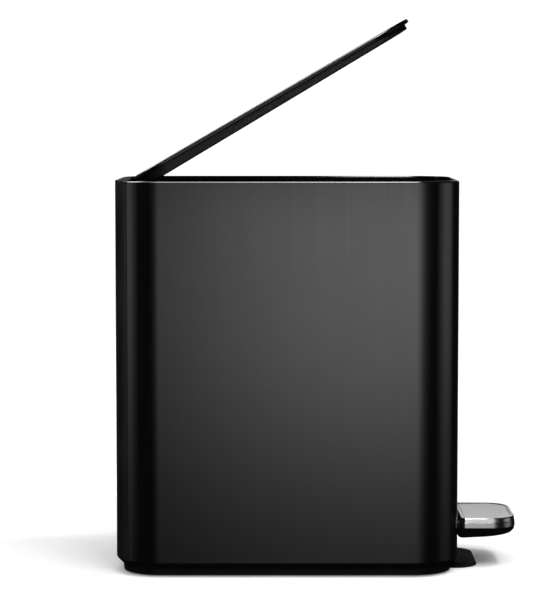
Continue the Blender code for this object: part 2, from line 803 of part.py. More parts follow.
def make_lever():
    """Flat steel lever from the pedal to the push rod, with ears for its bushes."""
    reach = (ahead(LEVER_REACH), ahead(LEVER_REAR))
    lever = block("pedal_lever", (-LEVER_HALF, LEVER_HALF), reach, (LEVER_LOW, LEVER_TOP))
    ears = []
    for side in (-1, 1):
        points = [(PIVOT_Y - 0.011, LEVER_LOW + 0.001)]
        for step in range(9):
            angle = math.radians(200 + 17.5 * step)
            points.append((PIVOT_Y + 0.0062 * math.cos(angle), PIVOT_Z + 0.0062 * math.sin(angle)))
        points.append((PIVOT_Y + 0.011, LEVER_LOW + 0.001))
        outer = side * LEVER_HALF
        inner = side * (LEVER_HALF - 0.002)
        ears.append(prism("ear", points, "X", min(outer, inner), max(outer, inner)))
    combine(lever, "UNION", ears)
    holes = [rod("bore", BUSH_RADIUS + GAP, -0.03, 0.03, (0, PIVOT_Y, PIVOT_Z), "X")]
    for side in (-1, 1):
        holes.append(screw_hole(side * PEDAL_SCREW_X, ahead(PEDAL_SCREW_DEPTH), 0.020, 0.040))
    return finish(combine(lever, "DIFFERENCE", holes), "zinc_steel")


def make_pedal_screws():
    """Two screws that hold the lever to the pedal's body."""
    screws = []
    for side, word in ((-1, "left"), (1, "right")):
        place = (side * PEDAL_SCREW_X, ahead(PEDAL_SCREW_DEPTH), LEVER_TOP + GAP)
        screws.append(screw(f"pedal_screw_{word}", "zinc_steel", place, 0.0052))
    return screws


def make_pivot():
    """Pin, flanged bushes, brackets and screws that the lever turns on; the bushes go with the lever."""
    centre = (0, PIVOT_Y, PIVOT_Z)
    bushes = []
    finish(rod("pivot_pin", PIVOT_RADIUS, -0.0185, 0.0185, centre, "X", edge=0.0005), "zinc_steel")
    bore = PIVOT_RADIUS + GAP
    for side, word in ((-1, "left"), (1, "right")):
        bush = [
            (bore, 0.0082),
            (BUSH_RADIUS, 0.0082),
            (BUSH_RADIUS, LEVER_HALF + GAP),
            (BUSH_RADIUS + 0.0012, LEVER_HALF + GAP),
            (BUSH_RADIUS + 0.0012, 0.0127),
            (bore, 0.0127),
        ]
        profile = [(radius, side * distance) for radius, distance in bush]
        bushes.append(finish(turned(f"pivot_bush_{word}", profile, centre, "X", capped=False), "nylon"))

        inner = side * 0.0131
        outer = side * 0.0151
        foot_low = BASE_FLOOR_TOP + GAP
        points = [(PIVOT_Y + 0.008, foot_low), (PIVOT_Y - 0.008, foot_low)]
        for step in range(11):
            angle = math.radians(180 - 18 * step)
            points.append((PIVOT_Y + 0.0055 * math.cos(angle), PIVOT_Z + 0.0055 * math.sin(angle)))
        bracket = prism(f"pivot_bracket_{word}", points, "X", min(inner, outer), max(inner, outer))
        flange = block(
            "flange", (side * 0.0140, side * 0.0275), (PIVOT_Y - 0.008, PIVOT_Y + 0.008),
            (foot_low, foot_low + 0.002),
        )
        combine(bracket, "UNION", [flange])
        combine(bracket, "DIFFERENCE", [
            rod("bore", bore, -0.03, 0.03, centre, "X"),
            screw_hole(side * BRACKET_SCREW_X, PIVOT_Y, 0.005, 0.012),
        ])
        finish(bracket, "zinc_steel")
        seat = foot_low + 0.002 + GAP
        screw(f"bracket_screw_{word}", "zinc_steel", (side * BRACKET_SCREW_X, PIVOT_Y, seat), 0.0048)
        place = (side * PLATE_SCREW_X, ahead(PLATE_SCREW_DEPTH), 0.0020)
        screw(f"plate_screw_{word}", "zinc_steel", place, 0.0048, 0.0013, up=False)
    return bushes


def make_push_rod():
    """Rod that carries the pedal's motion up to the lid, with its end pieces and the damper link."""
    centre = (0, ahead(ROD_DEPTH), 0)
    tip_low = ROD_TIP_TOP - 0.006
    rod_top = ROD_TIP_TOP - 0.0022
    bar = rod("push_rod", ROD_RADIUS, ROD_LOW, rod_top, centre, edge=0.0003, steps=16)
    push_rod = finish(bar, "zinc_steel")

    foot_low = LEVER_TOP + 0.0005
    profile = [
        (0.0035, foot_low),
        (0.0050, foot_low + 0.0010),
        (0.0050, foot_low + 0.0065),
        (0.0040, foot_low + 0.0090),
        (ROD_RADIUS + GAP, foot_low + 0.0090),
        (ROD_RADIUS + GAP, ROD_LOW - GAP),
    ]
    foot = finish(turned("rod_foot", profile, centre), "nylon")

    half = 0.0040
    edge = 0.0008
    pad = [
        (ahead(ROD_DEPTH) - half, tip_low), (ahead(ROD_DEPTH) + half, tip_low),
        (ahead(ROD_DEPTH) + half, ROD_TIP_TOP - edge), (ahead(ROD_DEPTH) + half - edge, ROD_TIP_TOP),
        (ahead(ROD_DEPTH) - half + edge, ROD_TIP_TOP), (ahead(ROD_DEPTH) - half, ROD_TIP_TOP - edge),
    ]
    tip = prism("rod_tip", pad, "X", -0.005, 0.005)
    bore = rod("bore", ROD_RADIUS + GAP, tip_low - 0.005, rod_top + GAP, centre, steps=16)
    finish(combine(tip, "DIFFERENCE", [bore]), "nylon")

    link = block("damper_link", (-0.005, 0.005), (ahead(0.0065), ahead(0.0300)), (LINK_LOW, LINK_TOP))
    combine(link, "DIFFERENCE", [
        rod("bore", ROD_RADIUS + GAP, LINK_LOW - 0.005, LINK_TOP + 0.005, centre, steps=16),
        rod("bore", 0.0018, LINK_LOW - 0.005, LINK_TOP - 0.0015, (0, ahead(DAMPER_DEPTH), 0), steps=16),
    ])
    finish(link, "nylon")

    damper = (0, ahead(DAMPER_DEPTH), 0)
    profile = [
        (0.0050, 0.1500), (0.0057, 0.1506), (0.0057, 0.1560), (0.0015, 0.1560), (0.0015, LINK_TOP - 0.0018),
    ]
    piston = finish(turned("damper_piston", profile, damper, steps=20), "grey_plastic")
    return [push_rod, foot, tip, link, piston]


def make_rod_guides():
    """Blocks on the back cover that keep the rod upright."""
    for name, low in (("rod_guide_lower", 0.070), ("rod_guide_upper", 0.255)):
        guide = block(name, (-0.007, 0.007), (ahead(INNER_INSET), ahead(0.0305)), (low, low + 0.008))
        centre = (0, ahead(ROD_DEPTH), 0)
        bore = rod("bore", ROD_RADIUS + 0.0004, low - 0.005, low + 0.013, centre, steps=16)
        finish(combine(guide, "DIFFERENCE", [bore]), "nylon")


def make_damper():
    """Air damper's cylinder, closed but for the piston's neck, and the clip that holds it."""
    centre = (0, ahead(DAMPER_DEPTH), 0)
    bore = DAMPER_RADIUS - 0.0005
    profile = [
        (DAMPER_RADIUS - 0.0006, DAMPER_LOW), (DAMPER_RADIUS, DAMPER_LOW + 0.0006),
        (DAMPER_RADIUS, DAMPER_TOP - 0.0006), (DAMPER_RADIUS - 0.0006, DAMPER_TOP),
        (0.0019, DAMPER_TOP), (0.0019, DAMPER_TOP - 0.0020), (bore, DAMPER_TOP - 0.0020),
        (bore, DAMPER_LOW + 0.0020),
    ]
    finish(turned("damper_cylinder", profile, centre), "grey_plastic")
    clip = block("damper_clip", (-0.0092, 0.0092), (ahead(INNER_INSET), ahead(0.0135)), (0.143, 0.157))
    hole = rod("hole", DAMPER_RADIUS + GAP, 0.130, 0.170, centre)
    finish(combine(clip, "DIFFERENCE", [hole]), "nylon")


def main():
    for item in list(bpy.data.objects):
        bpy.data.objects.remove(item)

    make_outer_shell()
    make_back_cover()
    make_base()
    make_foot_plate()
    make_feet()
    make_bezel()
    make_rim_frame()
    make_bumpers()
    make_bucket()
    make_hinge_pins()
    bushes = make_pivot()
    make_rod_guides()
    make_damper()

    lid = pivot("lid_hinge", (0, ahead(HINGE_DEPTH), HINGE_Z))
    lid_pieces = [make_lid_skin(), make_lid_liner(), make_crank()]
    lid_pieces += make_hinge_arms() + make_lid_screws()
    hang(lid_pieces, lid)
    lid.rotation_euler.x = math.radians(-LID_OPEN_ANGLE)

    pedal = pivot("pedal_hinge", (0, PIVOT_Y, PIVOT_Z))
    hang([make_pedal_cap(), make_pedal_body(), make_lever()] + make_pedal_screws() + bushes, pedal)

    slide = pivot("rod_slide", (0, ahead(ROD_DEPTH), ROD_LOW))
    hang(make_push_rod(), slide)


main()
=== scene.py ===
"""Looks of the slim pedal can: fine-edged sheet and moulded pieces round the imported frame."""

import json
import math

import bmesh
import bpy
from mathutils import Matrix, Vector


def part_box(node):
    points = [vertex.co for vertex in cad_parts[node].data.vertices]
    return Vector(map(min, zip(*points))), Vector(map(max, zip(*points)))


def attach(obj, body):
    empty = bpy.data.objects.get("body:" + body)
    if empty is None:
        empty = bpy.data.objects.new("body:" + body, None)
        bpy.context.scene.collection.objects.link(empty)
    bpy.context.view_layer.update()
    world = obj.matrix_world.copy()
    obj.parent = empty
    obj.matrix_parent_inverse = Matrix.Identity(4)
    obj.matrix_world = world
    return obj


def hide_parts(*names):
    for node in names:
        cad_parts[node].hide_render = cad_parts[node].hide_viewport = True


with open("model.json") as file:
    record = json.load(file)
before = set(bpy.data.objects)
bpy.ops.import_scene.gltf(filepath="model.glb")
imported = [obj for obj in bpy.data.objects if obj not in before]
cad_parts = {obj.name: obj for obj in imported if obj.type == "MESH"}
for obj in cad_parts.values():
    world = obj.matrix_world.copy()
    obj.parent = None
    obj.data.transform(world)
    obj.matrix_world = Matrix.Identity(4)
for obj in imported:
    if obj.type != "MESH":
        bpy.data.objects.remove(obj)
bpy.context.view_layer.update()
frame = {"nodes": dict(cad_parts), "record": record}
JOINTS = {joint["name"]: joint for joint in frame["record"]["behaviour"]["joints"]}


def centre_of(node):
    """Middle of a CAD node's box at rest, seen from above."""
    low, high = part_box(node)
    return (low[0] + high[0]) / 2, (low[1] + high[1]) / 2


# Body: its box comes from the frame, and angles go round it in degrees, 0 at +X and 90 at the back
SHELL_LOW, SHELL_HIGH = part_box("outer_shell")
HALF_WIDTH = SHELL_HIGH[0]
FRONT_Y = SHELL_LOW[1]
BACK_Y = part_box("back_cover")[1][1]
BODY_TOP = SHELL_HIGH[2]
SHELL_BOTTOM = SHELL_LOW[2]
BASE_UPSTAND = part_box("base")[1][2]
BASE_UNDERSIDE = 0.0009
BASE_FLOOR_LOW = 0.0045
BASE_FLOOR_TOP = 0.0070
CORNER_RADIUS = 0.036
SHEET = 0.0008
HEM_WIDTH = 0.0019
HEM_HEIGHT = 0.0055
COVER_WALL = 0.0018
RIGHT_SEAM = 45
LEFT_SEAM = 135
SEAM_HALF_ANGLE = 0.3
INNER_INSET = 0.0021
CLEARANCE = 0.0003
SCREW_HOLE = 0.0019

# Openings for the pedal's lever, and the foot plate
SLOT_HALF = 0.015
SLOT_TOP = 0.0395
BEZEL_SLOT_HALF = 0.0132
BEZEL_SLOT_LOW = 0.0150
BEZEL_SLOT_TOP = 0.0388
PLATE_RADIUS = 0.018
PLATE_ROOT_HALF = 0.0355
PLATE_GAP_HALF = 0.044
PLATE_GAP_TOP = 0.0030

# Lid, drawn shut and then swung to the angle it has at rest
HINGE = Vector(JOINTS["lid_hinge"]["pos_m"])
LID_ANGLE = math.radians(-JOINTS["lid_hinge"]["range_deg"][0])
LID_SWING = Matrix.Translation(HINGE) @ Matrix.Rotation(-LID_ANGLE, 4, "X") @ Matrix.Translation(-HINGE)
LID_INSET = 0.0025
LID_REAR_RADIUS = 0.040
LID_TIP_Y = FRONT_Y + 0.0046
LID_REAR_Y = BACK_Y - 0.0081
LID_SKIRT = 0.0034
LINER_INSET = 0.002
LINER_WALL = 0.0016
LINER_SETBACK = 0.0020
LINER_REAR_DEPTH = 0.0110
LINER_TIP_DEPTH = 0.0074
EAR_HALF_SPAN = 0.0097
HINGE_X = centre_of("hinge_pin_right")[0]
ARM_SCREW_Y = BACK_Y - 0.0407
CRANK_SCREW_X = 0.0082
CRANK_SCREW_Y = BACK_Y - 0.0242

# Bucket
BUCKET_WALL = 0.0015
BUCKET_DRAFT = 0.003
BUCKET_FRONT_RADIUS = 0.0285
BUCKET_REAR_RADIUS = 0.018
FLANGE_RADIUS = 0.0315
STACKING_STEP = 0.030

# Pedal
PEDAL_TIP_RADIUS = 0.0195
PEDAL_REAR_RADIUS = 0.005
SOLE_REAR_RADIUS = 0.0035
SOLE_SLOPE = 0.045
LEVER_GAP_HALF = 0.0114
BEZEL_GAP_HALF = 0.0218

# Camera, from the near wall, from the back, above the floor, and its tilt down in radians
CAMERA_DISTANCE = 1.7493
CAMERA_SETBACK = 0.1316
CAMERA_HEIGHT = 0.3668
CAMERA_TILT = 0.0744

# Steps in a round corner, and the angle from which an edge is shaded sharp
CORNER_STEPS = 28
SHARP_ANGLE = math.radians(40)


# ---------------------------------------------------------------- drawing


def fillet(points, closed=False, steps=6):
    """Turn the corners of a run of (a, b, radius) points into arcs."""
    rounded = []
    count = len(points)
    for index, (a, b, radius) in enumerate(points):
        end_point = not closed and index in (0, count - 1)
        if radius == 0 or end_point:
            rounded.append((a, b))
            continue
        corner = Vector((a, b))
        before = (Vector(points[index - 1][:2]) - corner).normalized()
        after = (Vector(points[(index + 1) % count][:2]) - corner).normalized()
        half = before.angle(after) / 2
        centre = corner + (before + after).normalized() * (radius / math.sin(half))
        start = corner + before * (radius / math.tan(half)) - centre
        end = corner + after * (radius / math.tan(half)) - centre
        sweep = math.atan2(start.x * end.y - start.y * end.x, start.dot(end))
        for step in range(steps + 1):
            turn = Matrix.Rotation(sweep * step / steps, 2)
            point = centre + turn @ start
            rounded.append((point.x, point.y))
    return rounded


def rounded_rectangle(half_x, front_y, back_y, front_radius, back_radius, steps=CORNER_STEPS):
    """Plan outline, anticlockwise seen from above."""
    corners = [
        (half_x - front_radius, front_y + front_radius, front_radius, -90),
        (half_x - back_radius, back_y - back_radius, back_radius, 0),
        (back_radius - half_x, back_y - back_radius, back_radius, 90),
        (front_radius - half_x, front_y + front_radius, front_radius, 180),
    ]
    points = []
    for centre_x, centre_y, radius, start in corners:
        for step in range(steps + 1):
            angle = math.radians(start + 90 * step / steps)
            points.append((centre_x + radius * math.cos(angle), centre_y + radius * math.sin(angle)))
    return points


def body_outline(inset):
    """Wrap and back cover seen from above."""
    radius = CORNER_RADIUS - inset
    return rounded_rectangle(HALF_WIDTH - inset, FRONT_Y + inset, BACK_Y - inset, radius, radius)


def lid_outline(inset, setback=0.0):
    """Lid seen from above; setback draws its tip back further than its sides."""
    return rounded_rectangle(
        HALF_WIDTH - LID_INSET - inset, LID_TIP_Y + inset + setback, LID_REAR_Y - inset,
        CORNER_RADIUS - LID_INSET - inset, LID_REAR_RADIUS - inset,
    )


def liner_outline(inset):
    """Lid liner seen from above."""
    return lid_outline(inset, LINER_SETBACK)


def wall_path(inset, start, end):
    """Open run of the body outline between two angles round the can."""
    radius = CORNER_RADIUS - inset
    centre_x = HALF_WIDTH - CORNER_RADIUS
    back = BACK_Y - CORNER_RADIUS
    front = FRONT_Y + CORNER_RADIUS
    quadrants = [
        (centre_x, back, 0), (-centre_x, back, 90), (-centre_x, front, 180),
        (centre_x, front, 270), (centre_x, back, 360),
    ]
    points = []
    for corner_x, corner_y, first in quadrants:
        low = max(start, first)
        high = min(end, first + 90)
        if high <= low:
            continue
        steps = max(2, round(CORNER_STEPS * (high - low) / 90))
        for step in range(steps + 1):
            angle = math.radians(low + (high - low) * step / steps)
            points.append((corner_x + radius * math.cos(angle), corner_y + radius * math.sin(angle)))
    return points


def at_height(points, z):
    """Plan outline laid level at a height."""
    return [(x, y, z) for x, y in points]


def skin(name, loops):
    """Closed body through matching loops, capped at both ends."""
    bm = bmesh.new()
    rows = [[bm.verts.new(point) for point in loop] for loop in loops]
    bm.faces.new(list(reversed(rows[0])))
    bm.faces.new(rows[-1])
    for low, high in zip(rows, rows[1:]):
        for index in range(len(low)):
            after = (index + 1) % len(low)
            bm.faces.new((low[index], low[after], high[after], high[index]))
    bmesh.ops.recalc_face_normals(bm, faces=bm.faces)
    mesh = bpy.data.meshes.new(name)
    bm.to_mesh(mesh)
    bm.free()
    piece = bpy.data.objects.new(name, mesh)
    bpy.context.scene.collection.objects.link(piece)
    return piece


def block(name, x, y, z):
    """Box between the two ends given for each axis, in either order."""
    corners = [(min(x), min(y)), (max(x), min(y)), (max(x), max(y)), (min(x), max(y))]
    return skin(name, [at_height(corners, min(z)), at_height(corners, max(z))])


def turned(name, profile, centre, steps=40):
    """Body turned about an upright axis from a profile of (radius, height) points."""
    x, y = centre
    turns = [2 * math.pi * step / steps for step in range(steps)]
    loops = []
    for radius, height in profile:
        ring = [(x + radius * math.cos(turn), y + radius * math.sin(turn)) for turn in turns]
        loops.append(at_height(ring, height))
    return skin(name, loops)


def holes(centres, profile):
    """Turned cutters, one at each centre."""
    return [turned("hole", profile, centre, steps=24) for centre in centres]


def combine(body, operation, tools):
    """Join the tools to the body (UNION), or take them out of it (DIFFERENCE)."""
    for tool in tools:
        modifier = body.modifiers.new(operation.title(), "BOOLEAN")
        modifier.operation = operation
        modifier.solver = "EXACT"
        modifier.object = tool
    evaluated = body.evaluated_get(bpy.context.evaluated_depsgraph_get())
    mesh = bpy.data.meshes.new_from_object(evaluated)
    body.modifiers.clear()
    body.data = mesh
    for tool in tools:
        bpy.data.objects.remove(tool)


def place_piece(piece, material, slot, body, *nodes):
    """Give a finished piece its material, shading and body, and hide the CAD nodes it stands for."""
    piece.data.materials.clear()
    piece.data.materials.append(material)
    piece.data.shade_smooth()
    piece.data.set_sharp_from_angle(angle=SHARP_ANGLE)
    weighted = piece.modifiers.new("even_shading", "WEIGHTED_NORMAL")
    weighted.keep_sharp = True
    if body == "lid":
        piece.matrix_world = LID_SWING
    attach(piece, body)
    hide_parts(*nodes)


# ---------------------------------------------------------------- materials

NOISE_ROUGHNESS = 0.55
NOISE_LOW = 0.3
NOISE_HIGH = 0.7
BLACK = (0.0022, 0.0022, 0.0023)


class Surface:
    """A Principled material whose colour, roughness and bump are built up from noise."""

    def __init__(self, name, colour, roughness, metallic=0.0):
        self.material = bpy.data.materials.new(name)
        self.material.use_nodes = True
        self.tree = self.material.node_tree
        self.shader = self.tree.nodes["Principled BSDF"]
        self.shader.inputs["Base Color"].default_value = (*colour, 1.0)
        self.shader.inputs["Roughness"].default_value = roughness
        self.shader.inputs["Metallic"].default_value = metallic
        self.colour = colour
        self.roughness = roughness
        self.coordinates = self.tree.nodes.new("ShaderNodeTexCoord").outputs["Object"]

    def link(self, source, target):
        self.tree.links.new(source, target)

    def set(self, socket, value):
        """Give one of the shader's own sockets a plain value."""
        self.shader.inputs[socket].default_value = value

    def noise(self, scale, detail):
        """Noise from 0 to 1; scale is per metre, one number or one for each axis."""
        stretch = scale if isinstance(scale, tuple) else (scale, scale, scale)
        mapping = self.tree.nodes.new("ShaderNodeMapping")
        mapping.inputs["Scale"].default_value = stretch
        self.link(self.coordinates, mapping.inputs["Vector"])
        texture = self.tree.nodes.new("ShaderNodeTexNoise")
        texture.inputs["Scale"].default_value = 1.0
        texture.inputs["Detail"].default_value = detail
        texture.inputs["Roughness"].default_value = NOISE_ROUGHNESS
        self.link(mapping.outputs["Vector"], texture.inputs["Vector"])
        return texture.outputs["Fac"]

    def spread(self, source, low, high):
        """Stretch the middle of a noise to run from low to high."""
        node = self.tree.nodes.new("ShaderNodeMapRange")
        node.inputs["From Min"].default_value = NOISE_LOW
        node.inputs["From Max"].default_value = NOISE_HIGH
        node.inputs["To Min"].default_value = low
        node.inputs["To Max"].default_value = high
        self.link(source, node.inputs["Value"])
        return node.outputs["Result"]

    def vary_roughness(self, *parts):
        """Add (noise, swing) parts to the base roughness."""
        total = None
        for source, swing in parts:
            node = self.tree.nodes.new("ShaderNodeMath")
            node.operation = "ADD"
            node.inputs[1].default_value = self.roughness
            self.link(self.spread(source, -swing, swing), node.inputs[0])
            if total is not None:
                self.link(total, node.inputs[1])
            total = node.outputs["Value"]
        self.link(total, self.shader.inputs["Roughness"])

    def vary_colour(self, source, low, high):
        """Scale the base colour between low and high along a noise."""
        mix = self.tree.nodes.new("ShaderNodeMix")
        mix.data_type = "RGBA"
        mix.inputs["A"].default_value = (*[value * low for value in self.colour], 1.0)
        mix.inputs["B"].default_value = (*[value * high for value in self.colour], 1.0)
        self.link(self.spread(source, 0.0, 1.0), mix.inputs["Factor"])
        self.link(mix.outputs["Result"], self.shader.inputs["Base Color"])

    def bump(self, source, depth, strength):
        """Raise the surface along a noise, by up to depth in metres."""
        node = self.tree.nodes.new("ShaderNodeBump")
        node.inputs["Strength"].default_value = strength
        node.inputs["Distance"].default_value = depth
        self.link(source, node.inputs["Height"])
        self.link(node.outputs["Normal"], self.shader.inputs["Normal"])


def satin_steel(name, grain):
    """Black coated sheet; grain is the noise stretch that leaves faint brush lines along one axis."""
    surface = Surface(name, (0.0014, 0.0014, 0.0015), 0.20)
    lines = surface.noise(grain, detail=5.0)
    cloud = surface.noise(14.0, detail=3.0)
    surface.vary_roughness((lines, 0.025), (cloud, 0.015))
    surface.vary_colour(lines, 0.82, 1.22)
    surface.bump(lines, 0.000008, 0.4)
    return surface.material


def moulded(name, colour, roughness, grain=1700.0, depth=0.00003, specular=0.5):
    """Moulded plastic with a fine spark-eroded grain and slow changes of gloss."""
    surface = Surface(name, colour, roughness)
    surface.set("Specular IOR Level", specular)
    fine = surface.noise(grain, detail=2.0)
    slow = surface.noise(22.0, detail=3.0)
    surface.vary_roughness((slow, 0.05), (fine, 0.04))
    surface.vary_colour(slow, 0.85, 1.15)
    surface.bump(fine, depth, 0.6)
    return surface.material


def brushed_steel():
    """Bare steel brushed from the pedal's rear to its tip."""
    surface = Surface("pedal_steel", (0.53, 0.53, 0.525), 0.17, metallic=1.0)
    lines = surface.noise((5200.0, 25.0, 5200.0), detail=6.0)
    cloud = surface.noise(60.0, detail=3.0)
    surface.vary_roughness((lines, 0.06), (cloud, 0.03))
    surface.vary_colour(lines, 0.86, 1.12)
    surface.bump(lines, 0.000010, 0.7)
    return surface.material


def zinc_plate():
    """Zinc-plated steel with faint spangle."""
    surface = Surface("zinc_plate", (0.46, 0.47, 0.48), 0.38, metallic=1.0)
    spangle = surface.noise(420.0, detail=2.0)
    cloud = surface.noise(70.0, detail=4.0)
    surface.vary_roughness((spangle, 0.10), (cloud, 0.05))
    surface.vary_colour(cloud, 0.80, 1.12)
    surface.bump(spangle, 0.00001, 0.4)
    return surface.material


def make_materials():
    """Finishes by name: the record's material slots, and variants that only this script uses."""
    return {
        "black_steel": satin_steel("wrap_steel", (620.0, 620.0, 5.0)),
        "lid_steel": satin_steel("lid_steel", (620.0, 5.0, 620.0)),
        "rear_plastic": moulded("rear_plastic", BLACK, 0.38, specular=0.3),
        "black_plastic": moulded("black_plastic", BLACK, 0.36),
        "plate_plastic": moulded("plate_plastic", BLACK, 0.55, specular=0.01),
        "liner_plastic": moulded("liner_plastic", BLACK, 0.45, depth=0.000008, specular=0.2),
        "grey_plastic": moulded("grey_plastic", (0.045, 0.046, 0.048), 0.48, grain=1100.0),
        "nylon": moulded("nylon", (0.60, 0.59, 0.54), 0.42, grain=900.0, depth=0.00002),
        "rubber": moulded("rubber", (0.016, 0.016, 0.016), 0.78, grain=2600.0, depth=0.00005),
        "brushed_steel": brushed_steel(),
        "zinc_steel": zinc_plate(),
    }


FINISH = make_materials()


# ---------------------------------------------------------------- body


def wall_strip(name, section, start, end, wall):
    """Carry a closed (inset, z) section along part of the body outline, its ends softly turned in."""
    def stations(rounding, margin):
        """Sections between margins in degrees at both ends, the wall's faces pinched by the rounding."""
        rails = []
        for inset, z in section:
            turned_in = inset + rounding * (1 - 2 * inset / wall) if inset < wall else inset
            rails.append((wall_path(turned_in, start + margin, end - margin), z))
        steps = range(len(rails[0][0]))
        return [[(rail[step][0], rail[step][1], z) for rail, z in rails] for step in steps]

    ends = stations(0.00028, 0.0)
    near = stations(0.00008, 0.15)
    middle = stations(0.0, 0.45)
    return skin(name, [ends[0], near[0], *middle, near[-1], ends[-1]])


def make_wrap():
    """Steel wrap: a rolled hem on top, edges turned in at the seams and the foot, a slot in front."""
    hem_foot = BODY_TOP - HEM_HEIGHT
    section = fillet([
        (0.0, SHELL_BOTTOM, 0.0003),
        (0.0, BODY_TOP, 0.0015),
        (0.0016, BODY_TOP, 0.0001),
        (HEM_WIDTH, BODY_TOP - 0.0010, 0.0002),
        (HEM_WIDTH, hem_foot, 0.0003),
        (SHEET, hem_foot - 0.0003, 0.0001),
        (SHEET, SHELL_BOTTOM, 0.0003),
    ], closed=True)
    start = LEFT_SEAM + SEAM_HALF_ANGLE
    end = RIGHT_SEAM + 360 - SEAM_HALF_ANGLE
    wrap = wall_strip("steel_wrap", section, start, end, SHEET)
    through_front = (FRONT_Y - 0.005, FRONT_Y + 0.005)
    slot = block("slot", (-SLOT_HALF, SLOT_HALF), through_front, (SHELL_BOTTOM - 0.005, SLOT_TOP))
    combine(wrap, "DIFFERENCE", [slot])
    place_piece(wrap, FINISH["black_steel"], "black_steel", "can", "outer_shell")


def make_rear_panel():
    """Back cover that closes the wrap, with rounded edges."""
    section = fillet([
        (0.0, SHELL_BOTTOM, 0.0007),
        (0.0, BODY_TOP, 0.0007),
        (COVER_WALL, BODY_TOP, 0.0005),
        (COVER_WALL, SHELL_BOTTOM, 0.0004),
    ], closed=True)
    start = RIGHT_SEAM + SEAM_HALF_ANGLE
    end = LEFT_SEAM - SEAM_HALF_ANGLE
    panel = wall_strip("rear_panel", section, start, end, COVER_WALL)
    place_piece(panel, FINISH["rear_plastic"], "rear_plastic", "can", "back_cover")


def make_base():
    """Base tray with an undercut skirt that rounds in below the wrap."""
    profile = fillet([
        (0.0095, BASE_FLOOR_LOW, 0),
        (0.0095, BASE_UNDERSIDE, 0.0006),
        (0.0059, BASE_UNDERSIDE, 0.0008),
        (0.0052, 0.0064, 0.0016),
        (0.0010, 0.0106, 0.0012),
        (0.0004, SHELL_BOTTOM - CLEARANCE, 0.0001),
        (INNER_INSET, SHELL_BOTTOM - CLEARANCE, 0.0002),
        (INNER_INSET, BASE_UPSTAND, 0.0005),
        (0.0039, BASE_UPSTAND, 0.0005),
        (0.0039, BASE_FLOOR_TOP, 0.0012),
        (0.0070, BASE_FLOOR_TOP, 0),
    ])
    base = skin("base_moulding", [at_height(body_outline(inset), z) for inset, z in profile])
    tools = [
        block("lever_gap", (-SLOT_HALF, SLOT_HALF), (FRONT_Y, FRONT_Y + 0.006), (0.0125, 0.030)),
        block(
            "plate_gap", (-PLATE_GAP_HALF, PLATE_GAP_HALF), (FRONT_Y - 0.001, FRONT_Y + 0.012),
            (0.0, PLATE_GAP_TOP),
        ),
    ]
    screws = ("bracket_screw_left", "bracket_screw_right", "plate_screw_left", "plate_screw_right")
    bore = [(SCREW_HOLE, 0.003), (SCREW_HOLE, 0.009)]
    tools += holes([centre_of(screw) for screw in screws], bore)
    combine(base, "DIFFERENCE", tools)
    place_piece(base, FINISH["liner_plastic"], "black_plastic", "can", "base")


def make_foot_plate():
    """Thin blade on the floor with a soft crease along its edge, on a thicker root under the can."""
    low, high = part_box("foot_plate")

    def shape(inset):
        """Plate seen from above."""
        radius = PLATE_RADIUS - inset
        return rounded_rectangle(high[0] - inset, low[1] + inset, high[1] - inset, radius, radius)

    profile = fillet([
        (0.0010, low[2], 0),
        (0.0, low[2], 0.0002),
        (0.0, 0.0010, 0.0002),
        (0.0062, 0.0013, 0.0030),
        (0.0100, 0.0021, 0.0030),
        (0.0170, 0.0024, 0),
    ])
    plate = skin("anti_tip_plate", [at_height(shape(inset), z) for inset, z in profile])
    root = block(
        "root", (-PLATE_ROOT_HALF, PLATE_ROOT_HALF), (high[1] - 0.001, FRONT_Y + 0.010), (0.0008, high[2]),
    )
    combine(plate, "UNION", [root])
    head_radius = 0.0038
    head_top = 0.0023
    bore = [(head_radius, -0.001), (head_radius, head_top), (SCREW_HOLE, head_top), (SCREW_HOLE, 0.006)]
    centres = [centre_of("plate_screw_left"), centre_of("plate_screw_right")]
    combine(plate, "DIFFERENCE", holes(centres, bore))
    place_piece(plate, FINISH["plate_plastic"], "black_plastic", "can", "foot_plate")


def make_feet():
    """Rubber pads, each with a shallow round recess underneath."""
    for node in ("foot_front_left", "foot_front_right", "foot_rear_left", "foot_rear_right"):
        low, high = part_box(node)
        radius = (high[0] - low[0]) / 2
        profile = fillet([
            (0.0015, 0.0006, 0),
            (0.0030, 0.0006, 0.0002),
            (0.0033, low[2], 0.0002),
            (radius, low[2], 0.0007),
            (radius, 0.0032, 0.0006),
            (radius - 0.0010, high[2], 0.0003),
            (0.0015, high[2], 0),
        ], steps=4)
        pad = turned(f"{node}_pad", profile, centre_of(node))
        place_piece(pad, FINISH["rubber"], "rubber", "can", node)


